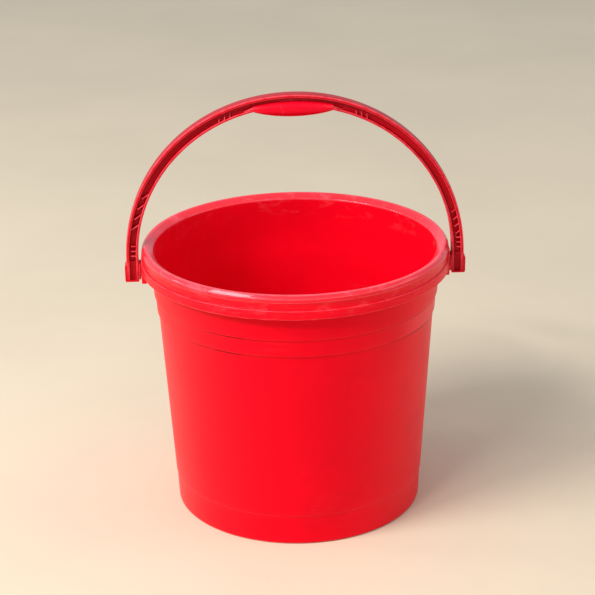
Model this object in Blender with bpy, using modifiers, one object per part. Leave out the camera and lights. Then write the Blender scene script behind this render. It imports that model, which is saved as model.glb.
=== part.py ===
"""Household bucket of the ten-litre class with a swinging bail handle.

Frame: origin at the centre of the foot, +Z up, the handle's pivot axis along X.
Lengths are written in millimetres and turned into metres by MM.
"""

import math

import bmesh
import bpy
from mathutils import Matrix

MM = 0.001
GAP = 0.3 * MM                       # clearance between pieces that touch

# Tub: heights are above the foot, radii are from the bucket's axis.
TUB_HEIGHT = 258 * MM
LIP_RADIUS = 144 * MM                # outside of the rolled lip
SKIRT_RADIUS = 145.2 * MM            # outside of the skirt at its lower edge
SKIRT_EDGE_Z = 236 * MM
MOUTH_RADIUS = 132.9 * MM            # clear opening inside the lip
FOOT_RADIUS = 117.2 * MM
FOOT_RING_INNER_RADIUS = 104 * MM
FOOT_RECESS = 3 * MM
FLOOR_TOP_Z = 5.6 * MM
TURN_STEPS = 80

# Pivot
PIVOT_Z = 233 * MM
PIN_SHANK_RADIUS = 4.2 * MM
PIN_ROOT_RADIUS = 2.6 * MM
PIN_COLLAR_RADIUS = 9.4 * MM
PIN_COLLAR_THICKNESS = 1.5 * MM
PIN_ROOT_LENGTH = 8.5 * MM
PIN_BARB_RADIUS = 5.2 * MM
PIN_BARB_STEP = 0.3 * MM             # slope behind the barb
PIN_TIP_RADIUS = 3.2 * MM
PIN_HEAD_LENGTH = 3.2 * MM
PIN_SLOT_WIDTH = 1.2 * MM
PIN_SLOT_START = 4.5 * MM            # from the pin's shoulder to the slot's root
PIN_STEPS = 32

# Ears under the skirt that carry the pins
EAR_OUTER_X = 144.4 * MM
EAR_THICKNESS = 4.6 * MM
EAR_WIDTH = 26 * MM
EAR_BOTTOM_Z = 222.5 * MM
EAR_TOP_Z = 250 * MM
EAR_CORNER_RADIUS = 3 * MM
PIN_HOLE_CUT = 12 * MM               # more than the ear's thickness
GUSSET_THICKNESS = 2.6 * MM
GUSSET_INNER_X = 133 * MM
GUSSET_TOP_Z = 248 * MM
GUSSET_BOTTOM_Z = 224.5 * MM

# Bail handle: a flanged arch on two straight legs
ARCH_HALF_WIDTH = 158.5 * MM
ARCH_CENTRE_Z = 243.5 * MM
ARCH_RISE = 157 * MM
ARCH_POWER = 2.04                    # exponent of the superellipse, 2 is an ellipse
ARCH_STEPS = 56
HANDLE_DEPTH = 13 * MM
LEG_THICKNESS = 11.6 * MM
CROWN_THICKNESS = 11.6 * MM
FLANGE_THICKNESS = 2.2 * MM
WEB_THICKNESS = 3 * MM
HUB_WEB_THICKNESS = 7.6 * MM
HUB_OUTER_X = 160 * MM
HUB_TOP_Z = 241 * MM
HUB_SHOULDER_Z = 238 * MM
HUB_CHAMFER = (0.6 * MM, 2 * MM)     # width and height, at the hub's outer foot
HUB_OUTER_WALL = 4 * MM
HUB_SILL = 1.2 * MM                  # bar between the hub's recess and the channel
HANDLE_BOTTOM_Z = 223 * MM
HUB_FLOOR_THICKNESS = 1.8 * MM
CHANNEL_BOTTOM_Z = 242.8 * MM

# Ribs in the handle's channels
RIB_THICKNESS = 1.2 * MM
RIB_REACH = 4.6 * MM
RIB_SETBACK = 1 * MM                 # rib face below the flange edges
LEVEL_RIB_Z = (248.5 * MM, 253.2 * MM, 258 * MM)
SLANTED_RIB_Z_LEFT = (280 * MM, 290 * MM, 300 * MM, 310 * MM)
SLANTED_RIB_Z_RIGHT = (266 * MM, 273 * MM, 280 * MM, 287 * MM)
SLANT = math.radians(40)
CROWN_RIB_X = (58 * MM, 63 * MM, 68 * MM)
CROWN_RIB_HEIGHT = 3.4 * MM
CROWN_RIB_LEAN = -1.2 * MM

# Palm grip pushed up over the web at the crown
GRIP_HALF_LENGTH = 37 * MM
GRIP_DEPTH = 15 * MM
GRIP_BULGE = 5.9 * MM
GRIP_FULLNESS = 0.8                  # exponent of the underside's curve, lower is fuller
GRIP_ROUNDING = 5 * MM
GRIP_WEB_HEIGHT = 4 * MM             # web left standing inside the grip's slot
GRIP_STEPS = 20

RED = (0.74, 0.004, 0.014, 1.0)
PALM_RED = (0.80, 0.003, 0.016, 1.0)


def clear_scene():
    for item in list(bpy.data.objects):
        bpy.data.objects.remove(item, do_unlink=True)


def new_collection(name):
    collection = bpy.data.collections.new(name)
    bpy.context.scene.collection.children.link(collection)
    return collection


def plastic(name, colour, roughness):
    material = bpy.data.materials.new(name)
    material.use_nodes = True
    shader = material.node_tree.nodes["Principled BSDF"]
    shader.inputs["Base Color"].default_value = colour
    shader.inputs["Roughness"].default_value = roughness
    shader.inputs["Metallic"].default_value = 0.0
    material.diffuse_color = colour
    return material


def add_object(name, mesh, collection, material=None):
    item = bpy.data.objects.new(name, mesh)
    collection.objects.link(item)
    if material is not None:
        mesh.materials.append(material)
    return item


def mesh_from(bm, name):
    bmesh.ops.recalc_face_normals(bm, faces=bm.faces)
    mesh = bpy.data.meshes.new(name)
    bm.to_mesh(mesh)
    bm.free()
    return mesh


def add_box(bm, low, high):
    """Adds a box between two corners and returns its vertices."""
    made = bmesh.ops.create_cube(bm, size=1)
    size = [b - a for a, b in zip(low, high)]
    centre = [(a + b) / 2 for a, b in zip(low, high)]
    bmesh.ops.scale(bm, vec=size, verts=made["verts"])
    bmesh.ops.translate(bm, vec=centre, verts=made["verts"])
    return made["verts"]


def hide_cutter(item):
    item.hide_render = True
    item.display_type = "WIRE"


def boolean(target, tool, operation, solver="EXACT"):
    step = target.modifiers.new(operation.title() + " " + tool.name, "BOOLEAN")
    step.operation = operation
    step.solver = solver
    step.object = tool
    hide_cutter(tool)


def smooth(item, degrees=35):
    item.data.shade_smooth()
    item.data.set_sharp_from_angle(angle=math.radians(degrees))


# ---------------------------------------------------------------- outlines

def round_corner(before, corner, after, radius, steps):
    """Points of the arc that rounds one corner of an outline."""
    to_before = (before[0] - corner[0], before[1] - corner[1])
    to_after = (after[0] - corner[0], after[1] - corner[1])
    length_before = math.hypot(*to_before)
    length_after = math.hypot(*to_after)
    a = (to_before[0] / length_before, to_before[1] / length_before)
    b = (to_after[0] / length_after, to_after[1] / length_after)
    half_angle = math.acos(max(-1, min(1, a[0] * b[0] + a[1] * b[1]))) / 2
    reach = min(radius / math.tan(half_angle), 0.49 * length_before, 0.49 * length_after)
    start = (corner[0] + a[0] * reach, corner[1] + a[1] * reach)
    end = (corner[0] + b[0] * reach, corner[1] + b[1] * reach)
    middle = ((a[0] + b[0]) / 2, (a[1] + b[1]) / 2)
    middle_length = math.hypot(*middle)
    distance = reach / math.cos(half_angle)
    centre = (corner[0] + middle[0] / middle_length * distance,
              corner[1] + middle[1] / middle_length * distance)
    first = math.atan2(start[1] - centre[1], start[0] - centre[0])
    turn = math.atan2(end[1] - centre[1], end[0] - centre[0]) - first
    turn = (turn + math.pi) % (2 * math.pi) - math.pi
    size = math.hypot(start[0] - centre[0], start[1] - centre[1])
    return [(centre[0] + size * math.cos(first + turn * i / steps),
             centre[1] + size * math.sin(first + turn * i / steps)) for i in range(steps + 1)]


def rounded(corners):
    """An open outline from (r, z, rounding, steps) corners."""
    points = []
    for i, (r, z, radius, steps) in enumerate(corners):
        if radius == 0:
            points.append((r, z))
        else:
            points += round_corner(corners[i - 1][:2], (r, z), corners[i + 1][:2], radius, steps)
    return points


def turned(name, profile, steps, collection, material=None):
    """A solid of revolution about Z: the profile's outer side runs downwards."""
    mesh = bpy.data.meshes.new(name)
    vertices = [(r, 0, z) for r, z in profile]
    edges = [(i, i + 1) for i in range(len(profile) - 1)]
    mesh.from_pydata(vertices, edges, [])
    item = add_object(name, mesh, collection, material)
    screw = item.modifiers.new("Turn", "SCREW")
    screw.axis = "Z"
    screw.angle = math.tau
    screw.steps = steps
    screw.render_steps = steps
    screw.use_merge_vertices = True
    screw.merge_threshold = 0.00001
    screw.use_smooth_shade = True
    return item


def upright_outline(name, points, depth, collection, material=None, y=0.0):
    """A flat outline in the XZ plane, given a thickness along Y."""
    curve = bpy.data.curves.new(name + "_outline", "CURVE")
    curve.dimensions = "2D"
    curve.fill_mode = "BOTH"
    curve.extrude = depth / 2
    spline = curve.splines.new("POLY")
    spline.points.add(len(points) - 1)
    for point, (x, z) in zip(spline.points, points):
        point.co = (x, z, 0, 1)
    spline.use_cyclic_u = True
    guide = bpy.data.objects.new(name + "_outline", curve)
    collection.objects.link(guide)
    guide.matrix_world = Matrix.Translation((0, y, 0)) @ Matrix.Rotation(math.pi / 2, 4, "X")
    bpy.context.view_layer.update()
    graph = bpy.context.evaluated_depsgraph_get()
    mesh = bpy.data.meshes.new_from_object(guide.evaluated_get(graph))
    mesh.name = name
    mesh.transform(guide.matrix_world)
    bpy.data.objects.remove(guide, do_unlink=True)
    bm = bmesh.new()
    bm.from_mesh(mesh)
    bmesh.ops.remove_doubles(bm, verts=bm.verts, dist=0.00001)
    bmesh.ops.recalc_face_normals(bm, faces=bm.faces)
    bm.to_mesh(mesh)
    bm.free()
    mesh.materials.clear()
    return add_object(name, mesh, collection, material)


# --------------------------------------------------------------------- tub

def tub_profile():
    """From the floor's centre, up the inside, over the lip and down to the foot."""
    inside = [
        (0, FLOOR_TOP_Z, 0, 0),
        (115.6 * MM, FLOOR_TOP_Z, 6 * MM, 3),
        (127.6 * MM, 194 * MM, 0, 0),
        (130.9 * MM, 214 * MM, 0, 0),
    ]
    lip = [
        (MOUTH_RADIUS, TUB_HEIGHT, 5.2 * MM, 4),
        (LIP_RADIUS, TUB_HEIGHT, 5.2 * MM, 4),
        (LIP_RADIUS, 251.4 * MM, 0, 0),
    ]
    skirt = [
        (142.6 * MM, 250.4 * MM, 0, 0),
        (142.6 * MM, 244.6 * MM, 0, 0),
        (144.5 * MM, 244 * MM, 0, 0),
        (SKIRT_RADIUS, SKIRT_EDGE_Z, 0, 0),
        (142.8 * MM, SKIRT_EDGE_Z, 0, 0),
        (142 * MM, 242.5 * MM, 0, 0),
        (140.4 * MM, 245.5 * MM, 0, 0),
        (140.6 * MM, 254.2 * MM, 1.5 * MM, 1),
        (135.7 * MM, 253.4 * MM, 1.2 * MM, 1),
    ]
    wall = [
        (135.4 * MM, SKIRT_EDGE_Z, 0, 0),
        (133.7 * MM, 211.6 * MM, 0, 0),
        (132.6 * MM, 210.4 * MM, 0, 0),
        (131.4 * MM, 195.1 * MM, 0, 0),
        (130 * MM, 193.7 * MM, 0, 0),
        (118.9 * MM, 21.6 * MM, 0, 0),
        (118.2 * MM, 20.2 * MM, 0, 0),
    ]
    foot = [
        (FOOT_RADIUS, 0, 1.5 * MM, 3),
        (FOOT_RING_INNER_RADIUS, 0, 0, 0),
        (FOOT_RING_INNER_RADIUS - 1 * MM, FOOT_RECESS, 0, 0),
        (0, FOOT_RECESS, 0, 0),
    ]
    return rounded(inside + lip + skirt + wall + foot)


def ear_mesh(side):
    """Pin plate hung under the lip, with two gussets back to the wall."""
    bm = bmesh.new()
    inner = EAR_OUTER_X - EAR_THICKNESS
    plate = add_box(bm, (inner, -EAR_WIDTH / 2, EAR_BOTTOM_Z), (EAR_OUTER_X, EAR_WIDTH / 2, EAR_TOP_Z))
    lower = [e for e in bm.edges if all(v in plate and v.co.z < PIVOT_Z for v in e.verts)
             and abs(e.verts[0].co.y - e.verts[1].co.y) < GAP]
    bmesh.ops.bevel(bm, geom=lower, offset=EAR_CORNER_RADIUS, segments=3, profile=0.5, material=-1,
                    affect="EDGES")
    bmesh.ops.scale(bm, vec=(side, 1, 1), verts=bm.verts)
    return mesh_from(bm, "ear_plate")


def gusset_mesh(side, edge):
    bm = bmesh.new()
    outer_y = edge * (EAR_WIDTH / 2 - GAP)
    low_y, high_y = sorted((outer_y, outer_y - edge * GUSSET_THICKNESS))
    outer_x = EAR_OUTER_X - EAR_THICKNESS / 2
    add_box(bm, (GUSSET_INNER_X, low_y, GUSSET_BOTTOM_Z), (outer_x, high_y, GUSSET_TOP_Z))
    bmesh.ops.scale(bm, vec=(side, 1, 1), verts=bm.verts)
    return mesh_from(bm, "gusset")


def pin_hole_mesh(side):
    bm = bmesh.new()
    bmesh.ops.create_cone(bm, cap_ends=True, segments=PIN_STEPS, radius1=PIN_SHANK_RADIUS + GAP,
                          radius2=PIN_SHANK_RADIUS + GAP, depth=PIN_HOLE_CUT)
    bmesh.ops.transform(bm, matrix=Matrix.Rotation(math.pi / 2, 4, "Y"), verts=bm.verts)
    centre = EAR_OUTER_X - EAR_THICKNESS / 2
    bmesh.ops.translate(bm, vec=(side * centre, 0, PIVOT_Z), verts=bm.verts)
    return mesh_from(bm, "pin_hole")


def build_tub(parts, cutters):
    tub = turned("tub", tub_profile(), TURN_STEPS, parts, plastic("tub_plastic", RED, 0.34))
    for side, word in ((-1, "left"), (1, "right")):
        boolean(tub, add_object("ear_" + word, ear_mesh(side), cutters), "UNION")
        for edge, place in ((-1, "front"), (1, "back")):
            name = "gusset_" + word + "_" + place
            boolean(tub, add_object(name, gusset_mesh(side, edge), cutters), "UNION")
    for side, word in ((-1, "left"), (1, "right")):
        boolean(tub, add_object("pin_hole_" + word, pin_hole_mesh(side), cutters), "DIFFERENCE")
    return tub


# ------------------------------------------------------------------ handle

def arch_size(inset_share):
    """Half width and rise of the arch, from 0 at its outside to 1 at its inside."""
    return (ARCH_HALF_WIDTH - LEG_THICKNESS * inset_share,
            ARCH_RISE - CROWN_THICKNESS * inset_share)


def arch_height(x, inset):
    """Height of the arch line that lies an inset inside the outer one."""
    width, rise = ARCH_HALF_WIDTH - inset, ARCH_RISE - inset
    return ARCH_CENTRE_Z + rise * (1 - (abs(x) / width) ** ARCH_POWER) ** (1 / ARCH_POWER)


def arch_half_width(z, inset):
    """Half width of the same line at a height."""
    width, rise = ARCH_HALF_WIDTH - inset, ARCH_RISE - inset
    share = max(0.0, (z - ARCH_CENTRE_Z) / rise)
    return width * (1 - share ** ARCH_POWER) ** (1 / ARCH_POWER)


def arch_line(width, rise, foot_z):
    """From the left leg's foot, over the crown, to the right leg's foot."""
    points = [(-width, foot_z)]
    for i in range(ARCH_STEPS + 1):
        angle = math.pi * (1 - i / ARCH_STEPS)
        c, s = math.cos(angle), max(0.0, math.sin(angle))
        points.append((math.copysign(width * abs(c) ** (2 / ARCH_POWER), c),
                       ARCH_CENTRE_Z + rise * s ** (2 / ARCH_POWER)))
    points.append((width, foot_z))
    return points


def handle_outline():
    """The whole side view: arch, legs and the thicker hubs at their feet."""
    outer = arch_line(*arch_size(0), HUB_TOP_Z)
    inner = arch_line(*arch_size(1), HANDLE_BOTTOM_Z)
    hub_left = [(-HUB_OUTER_X + HUB_CHAMFER[0], HANDLE_BOTTOM_Z),
                (-HUB_OUTER_X, HANDLE_BOTTOM_Z + HUB_CHAMFER[1]),
                (-HUB_OUTER_X, HUB_SHOULDER_Z)]
    hub_right = [(-x, z) for x, z in reversed(hub_left)]
    return hub_left + outer + hub_right + inner[::-1]


def channel_outline():
    """Space between the flanges, along the arch and down both legs."""
    share = FLANGE_THICKNESS / LEG_THICKNESS
    outer = arch_line(*arch_size(share), CHANNEL_BOTTOM_Z)
    inner = arch_line(*arch_size(1 - share), CHANNEL_BOTTOM_Z)
    return outer + inner[::-1]


def hub_recess_outline(side):
    outer = side * (HUB_OUTER_X - HUB_OUTER_WALL)
    inner = side * (ARCH_HALF_WIDTH - LEG_THICKNESS + FLANGE_THICKNESS)
    floor = HANDLE_BOTTOM_Z + HUB_FLOOR_THICKNESS
    top = CHANNEL_BOTTOM_Z - HUB_SILL
    return [(outer, floor), (inner, floor), (inner, top), (outer, top)]


def grip_seat_outline():
    """Part of the crown that the palm grip takes the place of."""
    reach = GRIP_HALF_LENGTH + GAP
    below = ARCH_CENTRE_Z + ARCH_RISE - 2 * CROWN_THICKNESS
    xs = [reach * (2 * i / GRIP_STEPS - 1) for i in range(GRIP_STEPS + 1)]
    top = [(x, arch_height(x, FLANGE_THICKNESS + GRIP_WEB_HEIGHT)) for x in xs]
    return [(-reach, below)] + top + [(reach, below)]


def pin_socket_mesh(side):
    bm = bmesh.new()
    length = PIN_ROOT_LENGTH + 2 * MM
    bmesh.ops.create_cone(bm, cap_ends=True, segments=PIN_STEPS, radius1=PIN_ROOT_RADIUS + GAP,
                          radius2=PIN_ROOT_RADIUS + GAP, depth=length)
    bmesh.ops.transform(bm, matrix=Matrix.Rotation(math.pi / 2, 4, "Y"), verts=bm.verts)
    inner_face = ARCH_HALF_WIDTH - LEG_THICKNESS
    centre = inner_face + PIN_ROOT_LENGTH + GAP - length / 2
    bmesh.ops.translate(bm, vec=(side * centre, 0, PIVOT_Z), verts=bm.verts)
    return mesh_from(bm, "pin_socket")


def add_rib(bm, start_x, start_z, end_x, end_z):
    """A thin upright plate from start to end, through the web."""
    length = math.hypot(end_x - start_x, end_z - start_z)
    half_depth = HANDLE_DEPTH / 2 - RIB_SETBACK
    made = add_box(bm, (0, -half_depth, -RIB_THICKNESS / 2), (length, half_depth, RIB_THICKNESS / 2))
    turn = Matrix.Rotation(-math.atan2(end_z - start_z, end_x - start_x), 4, "Y")
    bmesh.ops.transform(bm, matrix=Matrix.Translation((start_x, 0, start_z)) @ turn, verts=made)


def rib_mesh():
    """Level and slanted ribs of both legs, and the short ones beside the grip."""
    bm = bmesh.new()
    inset_inner = LEG_THICKNESS - FLANGE_THICKNESS / 2
    inset_outer = FLANGE_THICKNESS / 2
    for z in LEVEL_RIB_Z:
        left = -arch_half_width(z, inset_inner)
        add_rib(bm, left, z, left - RIB_REACH - FLANGE_THICKNESS / 2, z)
        right = arch_half_width(z, inset_outer)
        add_rib(bm, right, z, right - RIB_REACH - FLANGE_THICKNESS / 2, z)
    run = RIB_REACH + FLANGE_THICKNESS / 2
    for z in SLANTED_RIB_Z_LEFT:
        x = -arch_half_width(z, inset_inner)
        add_rib(bm, x, z, x - run, z - run * math.tan(SLANT))
    for z in SLANTED_RIB_Z_RIGHT:
        x = arch_half_width(z, inset_outer)
        add_rib(bm, x, z, x - run, z - run * math.tan(SLANT))
    for x in CROWN_RIB_X:
        for side in (-1, 1):
            z = arch_height(x, CROWN_THICKNESS - FLANGE_THICKNESS / 2)
            add_rib(bm, side * x, z, side * (x - CROWN_RIB_LEAN), z + CROWN_RIB_HEIGHT)
    return mesh_from(bm, "handle_ribs")


def build_handle(parts, cutters):
    material = plastic("bail_handle_plastic", RED, 0.36)
    handle = upright_outline("bail_handle", handle_outline(), HANDLE_DEPTH, parts, material)
    channel_depth = (HANDLE_DEPTH - WEB_THICKNESS) / 2
    recess_depth = (HANDLE_DEPTH - HUB_WEB_THICKNESS) / 2
    clear = 1 * MM                   # cutters stand out past the faces they cut
    for face, place in ((-1, "front"), (1, "back")):
        y = face * (HANDLE_DEPTH / 2 - channel_depth / 2 + clear / 2)
        cutter = upright_outline("channel_" + place, channel_outline(), channel_depth + clear, cutters, y=y)
        boolean(handle, cutter, "DIFFERENCE", "MANIFOLD")
        y = face * (HANDLE_DEPTH / 2 - recess_depth / 2 + clear / 2)
        for side, word in ((-1, "left"), (1, "right")):
            name = "hub_recess_" + word + "_" + place
            cutter = upright_outline(name, hub_recess_outline(side), recess_depth + clear, cutters, y=y)
            boolean(handle, cutter, "DIFFERENCE", "MANIFOLD")
    boolean(handle, add_object("handle_ribs", rib_mesh(), cutters), "UNION", "MANIFOLD")
    seat = upright_outline("grip_seat", grip_seat_outline(), HANDLE_DEPTH + 2 * clear, cutters)
    boolean(handle, seat, "DIFFERENCE", "MANIFOLD")
    for side, word in ((-1, "left"), (1, "right")):
        socket = add_object("pin_socket_" + word, pin_socket_mesh(side), cutters)
        boolean(handle, socket, "DIFFERENCE", "MANIFOLD")
    set_origin_on_pivot(handle)
    return handle


def set_origin_on_pivot(item):
    """Moves an object's origin to the pivot axis and leaves its shape where it is."""
    item.data.transform(Matrix.Translation((0, 0, -PIVOT_Z)))
    item.location = (0, 0, PIVOT_Z)


# -------------------------------------------------------------- palm grip

def grip_bottom(x):
    share = min(1.0, abs(x) / GRIP_HALF_LENGTH)
    tail = arch_height(GRIP_HALF_LENGTH, CROWN_THICKNESS)
    return tail - GRIP_BULGE * (1 - share ** 2) ** GRIP_FULLNESS


def grip_outline():
    xs = [GRIP_HALF_LENGTH * (2 * i / GRIP_STEPS - 1) for i in range(GRIP_STEPS + 1)]
    top = [(x, arch_height(x, FLANGE_THICKNESS + GAP)) for x in xs]
    bottom = [(x, grip_bottom(x)) for x in reversed(xs)]
    return top + bottom


def grip_slot_outline():
    reach = GRIP_HALF_LENGTH + 1 * MM
    xs = [reach * (2 * i / GRIP_STEPS - 1) for i in range(GRIP_STEPS + 1)]
    top = [(x, arch_height(x, 0)) for x in xs]
    bottom = [(x, arch_height(x, FLANGE_THICKNESS + GRIP_WEB_HEIGHT + GAP)) for x in reversed(xs)]
    return top + bottom


def build_palm_grip(parts, cutters):
    material = plastic("palm_grip_plastic", PALM_RED, 0.30)
    grip = upright_outline("palm_grip", grip_outline(), GRIP_DEPTH, parts, material)
    bm = bmesh.new()
    bm.from_mesh(grip.data)
    under = [e for e in bm.edges
             if all(v.co.z < grip_bottom(v.co.x) + GAP for v in e.verts)
             and abs(e.verts[0].co.y - e.verts[1].co.y) < GAP
             and max(abs(v.co.x) for v in e.verts) <= GRIP_HALF_LENGTH
             and e.calc_face_angle(0) > 1]
    bmesh.ops.bevel(bm, geom=under, offset=GRIP_ROUNDING, segments=4, profile=0.5, material=-1,
                    affect="EDGES", clamp_overlap=True)
    bm.to_mesh(grip.data)
    bm.free()
    slot_width = WEB_THICKNESS + 2 * GAP
    boolean(grip, upright_outline("grip_slot", grip_slot_outline(), slot_width, cutters), "DIFFERENCE")
    set_origin_on_pivot(grip)
    return grip


# -------------------------------------------------------------- pivot pins

def pin_profile():
    """From the root's end, past the collar and shank, to the snap head."""
    shank_end = -(ARCH_HALF_WIDTH - LEG_THICKNESS - GAP - EAR_OUTER_X + EAR_THICKNESS + GAP)
    return [(0, PIN_ROOT_LENGTH), (PIN_ROOT_RADIUS, PIN_ROOT_LENGTH), (PIN_ROOT_RADIUS, 0),
            (PIN_COLLAR_RADIUS, 0), (PIN_COLLAR_RADIUS, -PIN_COLLAR_THICKNESS),
            (PIN_SHANK_RADIUS, -PIN_COLLAR_THICKNESS), (PIN_SHANK_RADIUS, shank_end),
            (PIN_BARB_RADIUS, shank_end - PIN_BARB_STEP), (PIN_TIP_RADIUS, shank_end - PIN_HEAD_LENGTH),
            (0, shank_end - PIN_HEAD_LENGTH)]


def pin_slot_mesh():
    """Slot across the snap head, which lets its halves close on the way in."""
    bm = bmesh.new()
    half_width, across, beyond = PIN_SLOT_WIDTH / 2, PIN_COLLAR_RADIUS, 2 * PIN_COLLAR_RADIUS
    add_box(bm, (-half_width, -across, -beyond), (half_width, across, -PIN_SLOT_START))
    return mesh_from(bm, "pin_slot")


def build_pivot_pins(parts, cutters):
    for side, word in ((-1, "left"), (1, "right")):
        pin = turned("pivot_pin_" + word, pin_profile(), PIN_STEPS, parts,
                     plastic("pivot_pin_plastic_" + word, RED, 0.36))
        place = Matrix.Translation((side * (ARCH_HALF_WIDTH - LEG_THICKNESS - GAP), 0, PIVOT_Z))
        pin.matrix_world = place @ Matrix.Rotation(side * math.pi / 2, 4, "Y")
        slot = add_object("pin_slot_" + word, pin_slot_mesh(), cutters)
        slot.matrix_world = pin.matrix_world
        boolean(pin, slot, "DIFFERENCE")


def main():
    clear_scene()
    parts = new_collection("bucket")
    cutters = new_collection("bucket_cutters")
    build_tub(parts, cutters)
    smooth(build_handle(parts, cutters))
    smooth(build_palm_grip(parts, cutters))
    build_pivot_pins(parts, cutters)


main()
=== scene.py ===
"""A moulded household bucket with a swinging bail handle, finished around its fixed frame."""

import math

import bmesh
import bpy
from bpy.props import FloatProperty, FloatVectorProperty, IntProperty, PointerProperty
from mathutils import Matrix, Vector, noise


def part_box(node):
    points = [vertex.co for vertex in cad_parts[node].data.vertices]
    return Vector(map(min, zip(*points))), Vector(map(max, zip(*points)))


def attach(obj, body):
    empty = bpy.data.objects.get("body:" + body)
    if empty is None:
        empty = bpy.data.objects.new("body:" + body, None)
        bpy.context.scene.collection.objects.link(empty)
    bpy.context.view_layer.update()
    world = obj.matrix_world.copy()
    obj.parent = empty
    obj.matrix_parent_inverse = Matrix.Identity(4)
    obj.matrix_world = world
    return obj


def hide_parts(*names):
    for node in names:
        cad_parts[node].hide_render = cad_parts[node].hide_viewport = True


bl_info = {
    "name": "Bail Handle Bucket",
    "version": (1, 0, 0),
    "blender": (4, 5, 0),
    "location": "View3D > Sidebar > Bucket",
    "description": "Builds a moulded bucket with a ribbed bail handle around its fixed frame",
    "category": "Add Mesh",
}

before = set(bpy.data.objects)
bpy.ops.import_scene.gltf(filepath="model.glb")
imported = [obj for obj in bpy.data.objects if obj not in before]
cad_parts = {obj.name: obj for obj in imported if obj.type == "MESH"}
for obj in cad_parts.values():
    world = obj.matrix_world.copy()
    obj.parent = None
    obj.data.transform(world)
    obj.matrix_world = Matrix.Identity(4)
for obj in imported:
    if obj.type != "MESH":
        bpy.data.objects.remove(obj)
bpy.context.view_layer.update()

MM = 0.001
TUB_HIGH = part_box("tub")[1]
HANDLE_LOW, HANDLE_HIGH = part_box("bail_handle")
GRIP_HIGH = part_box("palm_grip")[1]
PIN_LOW, PIN_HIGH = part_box("pivot_pin_right")
PIVOT_Z = (PIN_LOW.z + PIN_HIGH.z) / 2
EDGE_ATTRIBUTE = "edge"
OUTSIDE_ATTRIBUTE = "outside"
UPPER_SHADE_LINE_DROP = 47.6 * MM          # painted shade lines just under the wall's two ledges, measured down from the top of the lip
LOWER_SHADE_LINE_DROP = 64.5 * MM
SHARP_DEGREES = 38
SHADED_RED = (0.30, 0.001, 0.006, 1)
SMUDGED_RED = (0.62, 0.0008, 0.012, 1)
# painted shade colour for the handle's channels
RECESS_SHADE_RED = (0.30, 0.0004, 0.003, 1)


# ------------------------------------------------------------------ settings

def length(name, description, default):
    return FloatProperty(name=name, description=description, default=default, unit="LENGTH")


def colour(name, description, *default):
    return FloatVectorProperty(name=name, description=description, default=(*default, 1),
                               subtype="COLOR", size=4, min=0, max=1)


def angle(name, description, degrees):
    return FloatProperty(name=name, description=description, default=math.radians(degrees),
                         subtype="ANGLE")


class BucketTubSettings(bpy.types.PropertyGroup):
    """Sizes of the tub."""

    skirt_radius: length("Skirt radius", "Widest radius, at the skirt's lower edge", TUB_HIGH.x)
    height: length("Height", "From the foot to the top of the lip", TUB_HIGH.z)
    steps: IntProperty(
        name="Steps", description="Segments around the tub", default=288, min=48, max=400)
    rim_waviness: length("Rim waviness", "How far the skirt's trimmed edge wanders", 0.35 * MM)
    wall_waviness: length("Wall waviness", "How far the cooled wall sinks in places", 0.22 * MM)


class BucketHandleSettings(bpy.types.PropertyGroup):
    """Sizes of the bail handle, its grip and its pins."""

    depth: length("Depth", "Depth of the flanges, front to back", HANDLE_HIGH.y - HANDLE_LOW.y)
    flange: length("Flange", "Thickness of the flanges", 2.2 * MM)
    web: length("Web", "Thickness of the web", 3 * MM)
    rib: length("Rib", "Thickness of the ribs", 0.85 * MM)
    steps: IntProperty(
        name="Steps", description="Stations along the arch", default=150, min=40, max=300)


class BucketFinishSettings(bpy.types.PropertyGroup):
    """Colours and wear of the plastic."""

    body_red: colour("Body red", "Colour of the tub", 0.86, 0.0008, 0.0125)
    handle_red: colour("Handle red", "Colour of the handle and its pins", 0.60, 0.0006, 0.008)
    grip_red: colour("Grip red", "Colour of the palm grip", 0.84, 0.0010, 0.017)
    # Paler colour of rubbed edges; on the tub it also paints the sheen between the wall's ledges and the
    # highlight on small rounded edges.
    wear_and_sheen_red: colour("Worn red", "Paler colour of rubbed edges", 0.95, 0.12, 0.15)
    grime: colour("Grime", "Colour of the dirt in specks", 0.16, 0.012, 0.014)
    rim_scuffing: FloatProperty(
        name="Rim scuffing", description="How much of the lip is rubbed dull and pale",
        default=0.5, min=0, max=1, subtype="FACTOR")


class BucketStageSettings(bpy.types.PropertyGroup):
    """Camera, light and floor."""

    lens: FloatProperty(name="Lens", description="Focal length", default=119.25, unit="CAMERA")
    distance: length("Distance", "From the tub's axis to the camera, along the floor", 1.735)
    camera_height: length("Camera height", "Camera above the floor", 0.8925)
    heading: angle("Heading", "Camera's way round the bucket", -2.2)
    pitch: angle("Pitch", "How far the camera looks down", 21.76)
    roll: angle("Roll", "Camera's turn about its line of sight", -0.9)
    key_power: FloatProperty(
        name="Key light", description="Power of the large soft light", default=66, min=0, unit="POWER")
    fill: FloatProperty(
        name="Fill", description="Strength of the light from all round", default=0.62, min=0, max=5)
    floor_colour: colour("Floor colour", "Colour of the floor", 0.69, 0.57, 0.41)


# ------------------------------------------------------------- node building

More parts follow.
